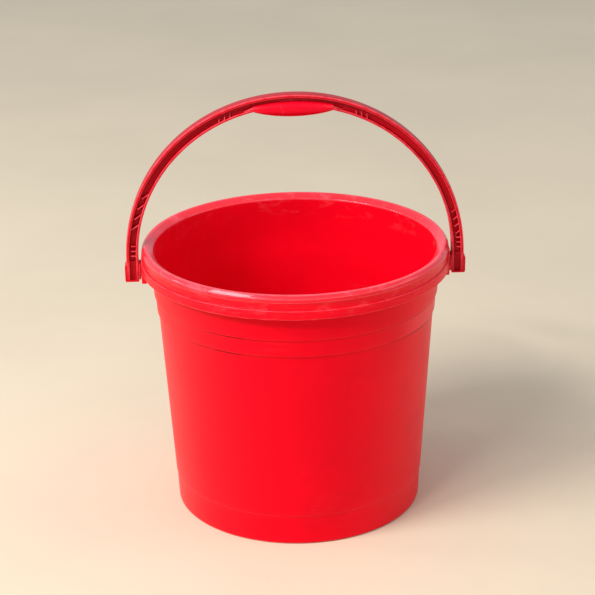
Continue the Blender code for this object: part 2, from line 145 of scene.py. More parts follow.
class Nodes:
    """Adds nodes to a tree, sets or links their inputs, and lays them out in rows."""

    def __init__(self, tree):
        self.tree = tree
        self.placed = 0

    def add(self, kind, inputs=None, **settings):
        node = self.tree.nodes.new(kind)
        node.location = (self.placed % 7 * 200, self.placed // 7 * -300)
        self.placed += 1
        for name, value in settings.items():
            setattr(node, name, value)
        for name, value in (inputs or {}).items():
            self.put(node.inputs[name], value)
        return node

    def put(self, socket, value):
        if isinstance(value, bpy.types.NodeSocket):
            self.tree.links.new(value, socket)
        else:
            socket.default_value = value

    def product(self, first, *others):
        for value in others:
            first = self.math("MULTIPLY", first, value)
        return first

    def along(self, place, axis):
        """One coordinate of a place."""
        return self.add("ShaderNodeSeparateXYZ", {"Vector": place}).outputs[axis]

    def attribute(self, name):
        return self.add("ShaderNodeAttribute", attribute_name=name).outputs["Fac"]

    def math(self, operation, *values):
        node = self.add("ShaderNodeMath", operation=operation)
        for socket, value in zip(node.inputs, values):
            self.put(socket, value)
        return node.outputs["Value"]

    def vector(self, operation, *values):
        node = self.add("ShaderNodeVectorMath", operation=operation)
        for socket, value in zip(node.inputs, values):
            self.put(socket, value)
        return node.outputs["Vector"]

    def ramp(self, value, low, high, to_low=0.0, to_high=1.0):
        """Turns a value into a smooth step between two levels."""
        node = self.add("ShaderNodeMapRange", {"Value": value, "From Min": low, "From Max": high,
                                               "To Min": to_low, "To Max": to_high},
                        interpolation_type="SMOOTHSTEP")
        return node.outputs["Result"]

    def noise(self, vector, scale, detail=3.0, roughness=0.55, distortion=0.0):
        node = self.add("ShaderNodeTexNoise", {"Vector": vector, "Scale": scale, "Detail": detail,
                                               "Roughness": roughness, "Distortion": distortion})
        return node.outputs["Fac"]

    def blend(self, share, first, second):
        """Mixes two colours: share 0 gives the first one, 1 the second."""
        node = self.add("ShaderNodeMix", data_type="RGBA", blend_type="MIX")
        self.put(node.inputs["Factor"], share)
        self.put([s for s in node.inputs if s.name == "A" and s.type == "RGBA"][0], first)
        self.put([s for s in node.inputs if s.name == "B" and s.type == "RGBA"][0], second)
        return [s for s in node.outputs if s.type == "RGBA"][0]

    def group(self, name, inputs):
        node = self.add("ShaderNodeGroup")
        node.node_tree = bpy.data.node_groups[name]
        for socket, value in inputs.items():
            self.put(node.inputs[socket], value)
        return node.outputs


def new_group(name, inputs, outputs):
    """An empty shader group with its sockets. Returns it with its builder, start and end."""
    group = bpy.data.node_groups.new(name, "ShaderNodeTree")
    for label, default in inputs.items():
        kind = "NodeSocketVector" if default is None else "NodeSocketFloat"
        socket = group.interface.new_socket(label, in_out="INPUT", socket_type=kind)
        if default is not None:
            socket.default_value = default
    for label, kind in outputs.items():
        group.interface.new_socket(label, in_out="OUTPUT", socket_type=kind)
    nodes = Nodes(group)
    return nodes, nodes.add("NodeGroupInput").outputs, nodes.add("NodeGroupOutput").inputs


def build_turned_coordinates():
    """Radius, height, and a seamless vector that follows the surface of a turned piece."""
    nodes, given, out = new_group(
        "turned_coordinates", {"Vector": None},
        {"Radius": "NodeSocketFloat", "Height": "NodeSocketFloat", "Around": "NodeSocketVector"})
    flat = nodes.vector("MULTIPLY", given["Vector"], (1, 1, 0))
    length = nodes.add("ShaderNodeVectorMath", operation="LENGTH")
    nodes.put(length.inputs[0], flat)
    parts = nodes.add("ShaderNodeSeparateXYZ", {"Vector": given["Vector"]})
    direction = nodes.vector("NORMALIZE", flat)
    spread = nodes.vector("MULTIPLY", direction, (TUB_HIGH.x,) * 3)
    upright = nodes.vector("MULTIPLY", given["Vector"], (0, 0, 1))
    nodes.put(out["Around"], nodes.vector("ADD", spread, upright))
    nodes.put(out["Radius"], length.outputs["Value"])
    nodes.put(out["Height"], parts.outputs["Z"])


def build_scuffs():
    """Patches where the gloss is rubbed off, broken up by a finer grain."""
    nodes, given, out = new_group(
        "rubbed_patches", {"Vector": None, "Scale": 40, "Cover": 0.4, "Softness": 0.12},
        {"Mask": "NodeSocketFloat"})
    patches = nodes.noise(given["Vector"], given["Scale"], 5, 0.62, 0.5)
    threshold = nodes.math("SUBTRACT", 0.72, nodes.math("MULTIPLY", given["Cover"], 0.4))
    top = nodes.math("ADD", threshold, given["Softness"])
    broad = nodes.ramp(patches, threshold, top)
    fine = nodes.noise(given["Vector"], nodes.math("MULTIPLY", given["Scale"], 9), 3, 0.6)
    nodes.put(out["Mask"], nodes.math("MULTIPLY", broad, nodes.ramp(fine, 0.32, 0.62, 0.35, 1)))


def build_specks():
    """Small round specks of grit pressed into the surface, in some of the cells only."""
    nodes, given, out = new_group(
        "grit_specks", {"Vector": None, "Scale": 260, "Cover": 0.08, "Size": 0.28},
        {"Mask": "NodeSocketFloat"})
    bent = nodes.vector("ADD", given["Vector"], nodes.vector("MULTIPLY", nodes.add(
        "ShaderNodeTexNoise", {"Vector": given["Vector"], "Scale": 900, "Detail": 1}).outputs["Color"],
        (0.0012,) * 3))
    cells = nodes.add("ShaderNodeTexVoronoi", {"Vector": bent, "Scale": given["Scale"]})
    chosen = nodes.add("ShaderNodeSeparateColor", {"Color": cells.outputs["Color"]}).outputs["Red"]
    spot = nodes.ramp(cells.outputs["Distance"], given["Size"],
                      nodes.math("MULTIPLY", given["Size"], 0.55))
    picked = nodes.math("LESS_THAN", chosen, given["Cover"])
    nodes.put(out["Mask"], nodes.math("MULTIPLY", spot, picked))


def build_scratches():
    """Fine straight scratches in two directions, faded in and out along their length."""
    nodes, given, out = new_group(
        "fine_scratches", {"Vector": None, "Scale": 14, "Width": 0.012, "Cover": 0.4},
        {"Mask": "NodeSocketFloat"})
    lines = []
    for turn, stretch in ((0.35, 26), (-0.6, 34), (1.35, 22)):
        turned = nodes.add("ShaderNodeMapping", {"Vector": given["Vector"], "Rotation": (0, turn, turn / 3),
                                                 "Scale": (1, 1, stretch)}).outputs["Vector"]
        value = nodes.noise(turned, given["Scale"], 1.5, 0.5)
        off = nodes.math("ABSOLUTE", nodes.math("SUBTRACT", value, 0.5))
        lines.append(nodes.ramp(off, given["Width"], 0.0))
    joined = nodes.math("MAXIMUM", nodes.math("MAXIMUM", lines[0], lines[1]), lines[2])
    fading = nodes.noise(given["Vector"], nodes.math("MULTIPLY", given["Scale"], 2.2), 2, 0.5)
    limit = nodes.math("SUBTRACT", 0.75, nodes.math("MULTIPLY", given["Cover"], 0.4))
    shown = nodes.ramp(fading, limit, nodes.math("ADD", limit, 0.1))
    nodes.put(out["Mask"], nodes.math("MULTIPLY", joined, shown))


def build_moulded_grain():
    """Height of a moulded surface: faint orange peel with a fine matt grain on it."""
    nodes, given, out = new_group(
        "moulded_grain", {"Vector": None, "Peel": 110, "Grain": 1400, "Fineness": 0.3},
        {"Height": "NodeSocketFloat"})
    peel = nodes.noise(given["Vector"], given["Peel"], 2, 0.5)
    grain = nodes.noise(given["Vector"], given["Grain"], 2, 0.6)
    nodes.put(out["Height"], nodes.math("ADD", peel, nodes.math("MULTIPLY", grain, given["Fineness"])))


def build_edge_wear():
    """Rubbing along sharp edges, from the edge attribute of a piece and a noise."""
    nodes, given, out = new_group(
        "edge_wear", {"Vector": None, "Edge": 0.0, "Amount": 0.6, "Scale": 120},
        {"Mask": "NodeSocketFloat"})
    patchy = nodes.ramp(nodes.noise(given["Vector"], given["Scale"], 4, 0.6), 0.28, 0.62, 0.25, 1)
    sharp = nodes.ramp(given["Edge"], 0.12, 0.85)
    nodes.put(out["Mask"], nodes.math("MULTIPLY", nodes.math("MULTIPLY", sharp, patchy), given["Amount"]))


def build_node_groups():
    build_turned_coordinates()
    build_scuffs()
    build_specks()
    build_scratches()
    build_moulded_grain()
    build_edge_wear()


# ------------------------------------------------------------------ materials

def new_material(name):
    material = bpy.data.materials.new(name)
    material.use_nodes = True
    tree = material.node_tree
    shader = tree.nodes["Principled BSDF"]
    shader.inputs["IOR"].default_value = 1.49
    shader.inputs["Specular Tint"].default_value = (1.0, 0.07, 0.11, 1)
    shader.inputs["Coat Roughness"].default_value = 0.09
    shader.inputs["Coat IOR"].default_value = 1.45
    shader.location = (1700, 0)
    tree.nodes["Material Output"].location = (2000, 0)
    nodes = Nodes(tree)
    place = nodes.add("ShaderNodeTexCoord").outputs["Object"]
    return material, nodes, shader, place


def finish_surface(nodes, shader, colour, roughness, height, distance):
    nodes.put(shader.inputs["Base Color"], colour)
    nodes.put(shader.inputs["Roughness"], roughness)
    bump = nodes.add("ShaderNodeBump", {"Height": height, "Strength": 1.0, "Distance": distance})
    nodes.put(shader.inputs["Normal"], bump.outputs["Normal"])


def painted_ledge_shading(nodes, tub, around, height, across, outside):
    """Masks of painted light on the wall: painted shade in the lines just under its two ledges, a painted
    sheen between them on the far right, and painted shade above and below that sheen.
    """
    top, reach = tub.height, tub.skirt_radius
    lines = []
    # painted shade: a dark line just under each of the two ledges
    for level, width in ((top - UPPER_SHADE_LINE_DROP, 1.1 * MM), (top - LOWER_SHADE_LINE_DROP, 1.3 * MM)):
        off = nodes.math("ABSOLUTE", nodes.math("SUBTRACT", height, level))
        lines.append(nodes.ramp(off, width, 0.35 * width))
    lines = nodes.math("MAXIMUM", *lines)
    # The painted shade is broken up by a noise, kept to the outside, strongest on the left and faint in
    # front and on the right.
    broken = nodes.ramp(nodes.noise(around, 30, 3, 0.6), 0.30, 0.62, 0.35, 1)
    on_left = nodes.ramp(across, -0.16 * reach, -0.38 * reach, 0, 0.80)
    on_right = nodes.ramp(across, 0.2 * reach, 0.9 * reach, 0.07, 0.37)
    lines = nodes.product(lines, broken, outside, nodes.math("ADD", on_left, on_right))

    # painted sheen between the two ledges on the far right, with painted shade just above and below it
    far_right = nodes.math("MULTIPLY", nodes.ramp(across, 0.56 * reach, 0.80 * reach), outside)
    painted_sheen_band = nodes.product(nodes.ramp(height, top - 64 * MM, top - 62 * MM),
                         nodes.ramp(height, top - 47 * MM, top - 49 * MM), far_right)
    below = nodes.math("MULTIPLY", nodes.ramp(height, top - 67.5 * MM, top - 65.5 * MM),
                       nodes.ramp(height, top - 63.8 * MM, top - 64.8 * MM))
    above = nodes.product(nodes.ramp(height, top - 49 * MM, top - 48 * MM),
                          nodes.ramp(height, top - 45 * MM, top - 47 * MM), 0.6)
    shade = nodes.math("MULTIPLY", nodes.math("MAXIMUM", below, above), far_right)
    return lines, painted_sheen_band, shade


def tub_plastic(finish, tub):
    """Saturated moulded red, glossier on the lip: rubbed pale in patches and evenly paler along the lip,
    with pale edges from wear and painted highlight, faint smudges and scratches on the wall, painted shade
    under its two ledges and a painted sheen between them on the far right.
    """
    material, nodes, shader, place = new_material("tub_plastic")
    turned = nodes.group("turned_coordinates", {"Vector": place})
    around, height, radius = turned["Around"], turned["Height"], turned["Radius"]
    across = nodes.along(place, "X")
    pale_wear_and_sheen = tuple(finish.wear_and_sheen_red)

    on_lip = nodes.ramp(height, tub.height - 7 * MM, tub.height - 2.5 * MM)
    on_rim = nodes.ramp(height, tub.height - 26 * MM, tub.height - 14 * MM)
    flattened = nodes.vector("MULTIPLY", around, (1, 1, 2.2))
    scuffs = nodes.group("rubbed_patches", {"Vector": flattened, "Scale": 46, "Cover": finish.rim_scuffing,
                                            "Softness": 0.14})["Mask"]
    scuffs = nodes.math("MULTIPLY", scuffs, nodes.math("MAXIMUM", on_lip, nodes.product(on_rim, 0.35)))
    # Pale edges: rubbed edges, and also a painted highlight standing in for the light that small rounded
    # edges of the lip, skirt, ledges and foot catch; weaker below the rim.
    wear = nodes.group("edge_wear", {"Vector": around, "Edge": nodes.attribute(EDGE_ATTRIBUTE),
                                     "Amount": 0.95, "Scale": 90})["Mask"]
    wear = nodes.product(wear, nodes.ramp(height, tub.height - 34 * MM, tub.height - 26 * MM, 0.30, 1))
    specks = nodes.group("grit_specks", {"Vector": place, "Scale": 300, "Cover": 0.16, "Size": 0.30})["Mask"]
    on_right = nodes.ramp(across, 0.2 * tub.skirt_radius, 0.9 * tub.skirt_radius, 0.08, 0.88)
    rim_specks = nodes.product(specks, on_rim, on_right)
    scratches = nodes.group("fine_scratches", {"Vector": around, "Scale": 9, "Width": 0.010,
                                               "Cover": 0.35})["Mask"]
    smudges = nodes.group("rubbed_patches", {"Vector": around, "Scale": 15, "Cover": 0.50,
                                             "Softness": 0.20})["Mask"]
    lines, painted_sheen_band, shade = painted_ledge_shading(nodes, tub, around, height, across, nodes.attribute(OUTSIDE_ATTRIBUTE))

    clouds = nodes.noise(around, 11, 3, 0.5)
    darker = tuple(c * 0.93 for c in finish.body_red[:3]) + (1,)
    base = nodes.blend(nodes.ramp(clouds, 0.35, 0.65), tuple(finish.body_red), darker)
    # paler: the rubbed patches, and the whole top of the lip made evenly paler all round
    paler = nodes.math("ADD", nodes.product(scuffs, 0.60), nodes.product(on_lip, 0.20))
    # Besides real smudges, rubbing, scratches and grit, this paints shade (SHADED_RED) in lines under the
    # wall's two ledges and beside them on the far right, and a paler painted sheen between the ledges there.
    for mask, colour in ((nodes.product(smudges, 0.30), SMUDGED_RED), (paler, pale_wear_and_sheen),
                         (nodes.product(wear, 0.8), pale_wear_and_sheen), (nodes.product(scratches, 0.06), pale_wear_and_sheen),
                         (rim_specks, tuple(finish.grime)), (lines, SHADED_RED),
                         (nodes.product(painted_sheen_band, 0.24), pale_wear_and_sheen), (nodes.product(shade, 0.45), SHADED_RED)):
        base = nodes.blend(mask, base, colour)

    inside = nodes.ramp(radius, tub.skirt_radius - 11 * MM, tub.skirt_radius - 14 * MM)
    rough = nodes.ramp(clouds, 0.3, 0.7, 0.40, 0.47)
    for operation, mask, share in (("SUBTRACT", on_lip, 0.14), ("SUBTRACT", inside, 0.03),
                                   ("ADD", scuffs, 0.26), ("ADD", scratches, 0.15)):
        rough = nodes.math(operation, rough, nodes.product(mask, share))
    relief = nodes.group("moulded_grain", {"Vector": place, "Peel": 95, "Grain": 1300,
                                           "Fineness": 0.22})["Height"]
    for mask, share in ((scratches, 0.08), (rim_specks, 0.9), (scuffs, 0.25)):
        relief = nodes.math("SUBTRACT", relief, nodes.product(mask, share))
    finish_surface(nodes, shader, base, rough, relief, 0.12 * MM)
    gloss = nodes.math("MULTIPLY", on_lip, nodes.math("SUBTRACT", 0.66, nodes.product(scuffs, 0.45)))
    nodes.put(shader.inputs["Coat Weight"], nodes.math("MAXIMUM", gloss, nodes.product(on_rim, 0.22)))
    return material


def handle_plastic(name, colour, finish, gloss, wear_amount, recess=0.0):
    """Semi-gloss red with pale rubbed edges, for the handle, the grip and the pins, with painted shade in
    the handle's channels when a recess share is given.
    """
    material, nodes, shader, place = new_material(name)
    wear = nodes.group("edge_wear", {"Vector": place, "Edge": nodes.attribute(EDGE_ATTRIBUTE),
                                     "Amount": wear_amount, "Scale": 160})["Mask"]
    scuffs = nodes.group("rubbed_patches", {"Vector": place, "Scale": 70, "Cover": 0.30,
                                            "Softness": 0.12})["Mask"]
    specks = nodes.group("grit_specks", {"Vector": place, "Scale": 340, "Cover": 0.03, "Size": 0.26})["Mask"]
    scratches = nodes.group("fine_scratches", {"Vector": place, "Scale": 16, "Width": 0.010,
                                               "Cover": 0.4})["Mask"]
    clouds = nodes.noise(place, 22, 3, 0.5)
    darker = tuple(c * 0.90 for c in colour[:3]) + (1,)
    base = nodes.blend(nodes.ramp(clouds, 0.35, 0.65), tuple(colour), darker)
    # painted shade: faces more than about 2 mm back from the flanges' front faces are darkened by the recess
    # share, standing in for the shade in the channels
    depth = nodes.math("ABSOLUTE", nodes.along(place, "Y"))
    recess_shade = nodes.ramp(depth, HANDLE_HIGH.y - 0.7 * MM, HANDLE_HIGH.y - 2 * MM, 0, recess)
    base = nodes.blend(recess_shade, base, RECESS_SHADE_RED)
    base = nodes.blend(wear, base, tuple(finish.wear_and_sheen_red))
    base = nodes.blend(nodes.math("MULTIPLY", scuffs, 0.16), base, tuple(finish.wear_and_sheen_red))
    base = nodes.blend(nodes.math("MULTIPLY", specks, 0.6), base, tuple(finish.grime))
    rough = nodes.ramp(clouds, 0.3, 0.7, gloss - 0.03, gloss + 0.04)
    rough = nodes.math("ADD", rough, nodes.math("MULTIPLY", scuffs, 0.16))
    rough = nodes.math("ADD", rough, nodes.math("MULTIPLY", scratches, 0.12))
    grain = nodes.group("moulded_grain", {"Vector": place, "Peel": 170, "Grain": 1600,
                                          "Fineness": 0.25})["Height"]
    relief = nodes.math("SUBTRACT", grain, nodes.math("MULTIPLY", scratches, 0.35))
    finish_surface(nodes, shader, base, rough, relief, 0.09 * MM)
    shader.inputs["Specular Tint"].default_value = (1.0, 0.20, 0.28, 1)
    return material


def floor_material(colour):
    material, nodes, shader, place = new_material("pale_floor")
    shader.inputs["Specular Tint"].default_value = (1, 1, 1, 1)
    mottled = nodes.noise(place, 3, 4, 0.55)
    lighter = tuple(min(1, c * 1.05) for c in colour[:3]) + (1,)
    base = nodes.blend(nodes.ramp(mottled, 0.35, 0.65), tuple(colour), lighter)
    grain = nodes.noise(place, 220, 3, 0.6)
    finish_surface(nodes, shader, base, 0.75, grain, 0.1 * MM)
    return material


# -------------------------------------------------------------- mesh building

def mark_edges(bm):
    """Stores how sharply each place bulges, from 0 on flats to 1 on small rounded edges."""
    full = 1.3 * MM
    layer = bm.verts.layers.float.new(EDGE_ATTRIBUTE)
    for edge in bm.edges:
        if not edge.is_manifold:
            continue
        angle = edge.calc_face_angle_signed(0)
        if angle <= 0.02:
            continue
        length = max(edge.calc_length(), 1e-7)
        width = sum(face.calc_area() for face in edge.link_faces) / (2 * length)
        sharpness = min(1.0, full * angle / max(width, 1e-7))
        for vert in edge.verts:
            vert[layer] = max(vert[layer], sharpness)


def mark_outside(bm):
    """Stores 1 where a turned piece faces away from its axis and 0 where it faces inwards."""
    bm.normal_update()
    layer = bm.verts.layers.float.new(OUTSIDE_ATTRIBUTE)
    for vert in bm.verts:
        vert[layer] = float(vert.normal.x * vert.co.x + vert.normal.y * vert.co.y > 0)


def only_verts(geometry):
    return [item for item in geometry if isinstance(item, bmesh.types.BMVert)]


def lay_along_x(bm, verts, x):
    """Turns what stands along Z so that it lies along X, at the pivots' height."""
    bmesh.ops.rotate(bm, matrix=Matrix.Rotation(math.pi / 2, 3, "Y"), verts=verts)
    bmesh.ops.translate(bm, vec=(x, 0, PIVOT_Z), verts=verts)


def object_from(bm, name):
    """An object in the scene with the bmesh as its mesh. The bmesh is freed."""
    mesh = bpy.data.meshes.new(name)
    bm.to_mesh(mesh)
    bm.free()
    item = bpy.data.objects.new(name, mesh)
    bpy.context.scene.collection.objects.link(item)
    return item


def finish_piece(bm, name, material, body, nodes):
    """Turns a bmesh into a piece that stands for CAD nodes and rides on their body."""
    mark_edges(bm)
    piece = object_from(bm, name)
    piece.data.shade_smooth()
    piece.data.set_sharp_from_angle(angle=math.radians(SHARP_DEGREES))
    piece.data.materials.append(material)
    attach(piece, body)
    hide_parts(*nodes)
    return piece


def rounded_chain(bm, corners):
    """A wire of (x, z, rounding) corners whose corners are bevelled round."""
    verts = [bm.verts.new((x, 0, z)) for x, z, rounding in corners]
    for first, second in zip(verts, verts[1:]):
        bm.edges.new((first, second))
    round_corners(bm, verts, [rounding for x, z, rounding in corners])


def round_corners(bm, verts, roundings):
    """Bevels the corners of a wire, each by its own radius."""
    for vert, rounding in zip(verts, roundings):
        if rounding > 0:
            sides = [edge.other_vert(vert).co - vert.co for edge in vert.link_edges]
            opening = sides[0].angle(sides[1])
            reach = min(rounding / math.tan(opening / 2), 0.48 * min(s.length for s in sides))
            segments = 3 if math.pi - opening < 0.8 else 6
            bmesh.ops.bevel(bm, geom=[vert], offset=reach, offset_type="OFFSET", segments=segments,
                            profile=0.5, material=-1, affect="VERTICES")


def spin_round(bm, steps, axis=(0, 0, 1), centre=(0, 0, 0)):
    """Turns a wire into a closed round body and welds its poles."""
    bmesh.ops.spin(bm, geom=bm.verts[:] + bm.edges[:], cent=centre, axis=axis, angle=math.tau,
                   steps=steps, use_merge=True, use_normal_flip=False, use_duplicate=False)
    bmesh.ops.remove_doubles(bm, verts=bm.verts, dist=1e-6)
    bmesh.ops.recalc_face_normals(bm, faces=bm.faces)


def add_block(bm, low, high, rounding=0.0, segments=3):
    """A box between two corners with rounded edges. Returns its vertices."""
    made = bmesh.ops.create_cube(bm, size=1)["verts"]
    size = [b - a for a, b in zip(low, high)]
    bmesh.ops.scale(bm, vec=size, verts=made)
    bmesh.ops.translate(bm, vec=[(a + b) / 2 for a, b in zip(low, high)], verts=made)
    if rounding == 0:
        return made
    cube, before = set(made), set(bm.verts) - set(made)
    edges = [edge for edge in bm.edges if edge.verts[0] in cube]
    bmesh.ops.bevel(bm, geom=edges, offset=rounding, segments=segments, profile=0.5, material=-1,
                    affect="EDGES")
    return [vert for vert in bm.verts if vert not in before]


def join_solids(base, tool, operation):
    """Combines two bmeshes with a Boolean and returns the result as a new bmesh."""
    items = [object_from(base, "base"), object_from(tool, "tool")]
    step = items[0].modifiers.new("Combine", "BOOLEAN")
    step.operation = operation
    step.solver = "EXACT"
    step.object = items[1]
    bpy.context.view_layer.update()
    graph = bpy.context.evaluated_depsgraph_get()
    made = bmesh.new()
    made.from_mesh(items[0].evaluated_get(graph).to_mesh())
    items[0].evaluated_get(graph).to_mesh_clear()
    for item in items:
        mesh = item.data
        bpy.data.objects.remove(item, do_unlink=True)
        bpy.data.meshes.remove(mesh)
    bmesh.ops.remove_doubles(made, verts=made.verts, dist=2e-6)
    bmesh.ops.dissolve_degenerate(made, dist=1e-6, edges=made.edges)
    return made


def mirrored_pair(bm):
    """Adds the mirror image across the YZ plane of all that the bmesh holds."""
    copy = bmesh.ops.duplicate(bm, geom=bm.verts[:] + bm.edges[:] + bm.faces[:])["geom"]
    bmesh.ops.scale(bm, vec=(-1, 1, 1), verts=only_verts(copy))
    bmesh.ops.recalc_face_normals(bm, faces=bm.faces)


# ------------------------------------------------------------------------ tub

def tub_corners(tub):
    """(radius, height, rounding) corners: up the inside, over the lip, down to the foot."""
    rim, top = tub.skirt_radius, tub.height
    inside = [
        (0, 5.6, 0), (rim / MM - 29.6, 5.6, 6), (rim / MM - 17.6, 194, 140), (rim / MM - 14.3, 214, 140),
    ]
    lip = [
        (rim / MM - 12.3, top / MM - 4.4, 2.2), (rim / MM - 6.6, top / MM, 3.2),
        (rim / MM - 3.9, top / MM, 1.4), (rim / MM - 1.5, top / MM - 3.0, 1.6),
        (rim / MM - 1.2, top / MM - 6.2, 1.2),
    ]
    skirt = [
        (rim / MM - 2.2, top / MM - 8.0, 1.2), (rim / MM - 2.3, top / MM - 13.4, 0.5),
        (rim / MM - 0.7, top / MM - 14, 0.45), (rim / MM, top / MM - 22, 0.55),
        (rim / MM - 2.4, top / MM - 22, 0.5), (rim / MM - 3.2, top / MM - 15.5, 1.5),
        (rim / MM - 4.8, top / MM - 12.5, 1.5), (rim / MM - 4.6, top / MM - 3.8, 1.5),
        (rim / MM - 9.5, top / MM - 4.6, 1.5),
    ]
    wall = [
        (rim / MM - 9.8, top / MM - 22, 3), (rim / MM - 11.4, 211.7, 0.35), (rim / MM - 12.6, 211.2, 0.15),
        (rim / MM - 13.7, 195.2, 0.35), (rim / MM - 15.1, 194.6, 0.15), (rim / MM - 25.8, 29.8, 0.5),
        (rim / MM - 26.4, 29.2, 0.3),
    ]
    foot = [
        (rim / MM - 28, 0, 2.0), (rim / MM - 41.2, 0, 0.8), (rim / MM - 42.2, 3, 0.8), (0, 3, 0),
    ]
    return [(r * MM, z * MM, rounding * MM) for r, z, rounding in inside + lip + skirt + wall + foot]


def subdivide_long_edges(bm, longest):
    """Gives long straight stretches of a wire points close enough together to bend."""
    for edge in list(bm.edges):
        cuts = int(edge.calc_length() / longest)
        if cuts:
            bmesh.ops.subdivide_edges(bm, edges=[edge], cuts=cuts)


def wear_tub_shape(bm, tub):
    """Small inward wander of the skirt's edge and of the wall, as cooling and use leave it."""
    rim = tub.skirt_radius
    for vert in bm.verts:
        flat = Vector((vert.co.x, vert.co.y, 0))
        radius = flat.length
        if radius < 0.3 * rim:
            continue
        way = flat / radius
        drop = tub.height - vert.co.z
        fine = noise.noise(way * 22 + Vector((0, 0, 3.1)))
        broad = noise.noise(way * 3.2 + Vector((0, 0, vert.co.z * 9)))
        sink = tub.wall_waviness * (0.5 + 0.5 * broad)
        near_skirt = max(0.0, 1 - abs(drop - 22 * MM) / (2.5 * MM))
        if radius > rim - 5 * MM and near_skirt > 0:
            vert.co.z += near_skirt * tub.rim_waviness * fine
            sink += near_skirt * tub.rim_waviness * (0.5 + 0.5 * noise.noise(way * 31))
        if vert.co.z < 28 * MM:
            sink *= vert.co.z / (28 * MM)
        vert.co.x -= way.x * sink
        vert.co.y -= way.y * sink


def ears(tub):
    """Both pin plates under the skirt, each with two gussets back to the wall."""
    outer, thickness, half_width = tub.skirt_radius - 0.8 * MM, 4.6 * MM, 13 * MM
    plate_low, plate_high = PIVOT_Z - 10.5 * MM, PIVOT_Z + 17 * MM
    bm = bmesh.new()
    plate = bmesh.ops.create_cube(bm, size=1)["verts"]
    bmesh.ops.scale(bm, vec=(thickness, 2 * half_width, plate_high - plate_low), verts=plate)
    bmesh.ops.translate(bm, vec=(outer - thickness / 2, 0, (plate_low + plate_high) / 2), verts=plate)
    lower = [e for e in bm.edges if all(v.co.z < PIVOT_Z for v in e.verts)
             and abs(e.verts[0].co.y - e.verts[1].co.y) < MM]
    bmesh.ops.bevel(bm, geom=lower, offset=3 * MM, segments=5, profile=0.5, material=-1, affect="EDGES")
    rim_edges = [e for e in bm.edges if e.calc_face_angle(0) > 1]
    bmesh.ops.bevel(bm, geom=rim_edges, offset=0.45 * MM, segments=2, profile=0.5, material=-1,
                    affect="EDGES")
    gussets = bmesh.new()
    for side in (-1, 1):
        edge_y = side * (half_width - 0.5 * MM)
        low_y, high_y = sorted((edge_y, edge_y - side * 2.4 * MM))
        add_block(gussets, (outer - 12.6 * MM, low_y, plate_low + 2 * MM),
                  (outer - thickness / 2, high_y, plate_high - 2 * MM), 0.3 * MM, 2)
    bm = join_solids(bm, gussets, "UNION")
    mirrored_pair(bm)
    return bm


def pin_holes(radius):
    """Cutters for the holes in the ears."""
    bm = bmesh.new()
    bmesh.ops.create_cone(bm, cap_ends=True, segments=48, radius1=radius, radius2=radius, depth=12 * MM)
    lay_along_x(bm, bm.verts, TUB_HIGH.x - 3.1 * MM)
    mirrored_pair(bm)
    return bm


class BUCKET_OT_tub(bpy.types.Operator):
    """Turns the tub and joins its two ears to it"""

    bl_idname = "bucket.tub"
    bl_label = "Tub"

    def execute(self, context):
        settings = context.scene.bucket_tub
        finish = context.scene.bucket_finish
        bm = bmesh.new()
        rounded_chain(bm, tub_corners(settings))
        subdivide_long_edges(bm, 7 * MM)
        spin_round(bm, settings.steps)
        wear_tub_shape(bm, settings)
        bm = join_solids(bm, ears(settings), "UNION")
        bm = join_solids(bm, pin_holes(4.5 * MM), "DIFFERENCE")
        mark_outside(bm)
        finish_piece(bm, "tub_shell", tub_plastic(finish, settings), "tub", ["tub"])
        return {"FINISHED"}


# --------------------------------------------------------------------- handle

ARCH_POWER = 2.04                    # superellipse exponent of the arch, 2 is an ellipse
ARCH_FOOT_Z = PIVOT_Z + 10.5 * MM    # where the arch stands on the straight legs
LEG_THICKNESS = 11.6 * MM
CROWN_THICKNESS = 11.6 * MM
OUTER_FLANGE_EXTRA = 0.9 * MM        # how much thicker the arch's outer flange is than its inner one
HUB_STEP = 1.5 * MM                  # how far the hub stands out past the leg
HUB_TOP_Z = PIVOT_Z + 9.8 * MM


def arch_point(turn, inset_share):
    """A point of the arch: turn runs from 0 at the left foot to 1 at the right one."""
    width = HANDLE_HIGH.x - HUB_STEP - LEG_THICKNESS * inset_share
    rise = HANDLE_HIGH.z - ARCH_FOOT_Z - CROWN_THICKNESS * inset_share
    angle = math.pi * (1 - turn)
    c, s = math.cos(angle), max(0.0, math.sin(angle))
    x = math.copysign(width * abs(c) ** (2 / ARCH_POWER), c)
    return Vector((x, 0, ARCH_FOOT_Z + rise * s ** (2 / ARCH_POWER)))


def arch_height(x, inset):
    """Height of the arch line that lies an inset inside the outer one."""
    width = HANDLE_HIGH.x - HUB_STEP - inset
    rise = HANDLE_HIGH.z - ARCH_FOOT_Z - inset
    return ARCH_FOOT_Z + rise * (1 - (abs(x) / width) ** ARCH_POWER) ** (1 / ARCH_POWER)


def arch_half_width(z, inset):
    """Half width of the same line at a height."""
    width = HANDLE_HIGH.x - HUB_STEP - inset
    rise = HANDLE_HIGH.z - ARCH_FOOT_Z - inset
    share = max(0.0, (z - ARCH_FOOT_Z) / rise)
    return width * (1 - share ** ARCH_POWER) ** (1 / ARCH_POWER)


def arch_stations(steps):
    """Matrices that carry the section from the left leg's foot to the right one's."""
    pairs = [(arch_point(i / steps, 0), arch_point(i / steps, 1)) for i in range(steps + 1)]
    foot = Vector((0, 0, HUB_TOP_Z - 4 * MM - ARCH_FOOT_Z))
    first, last = ([point + foot for point in pair] for pair in (pairs[0], pairs[-1]))
    pairs = [first, *pairs, last]
    matrices = []
    for outer, inner in pairs:
        across = inner - outer
        inward = across.normalized()
        along = inward.cross(Vector((0, 1, 0)))
        stretch = across.length / LEG_THICKNESS
        turn = Matrix((inward * stretch, Vector((0, 1, 0)), along)).transposed().to_4x4()
        matrices.append(Matrix.Translation(outer) @ turn)
    return matrices


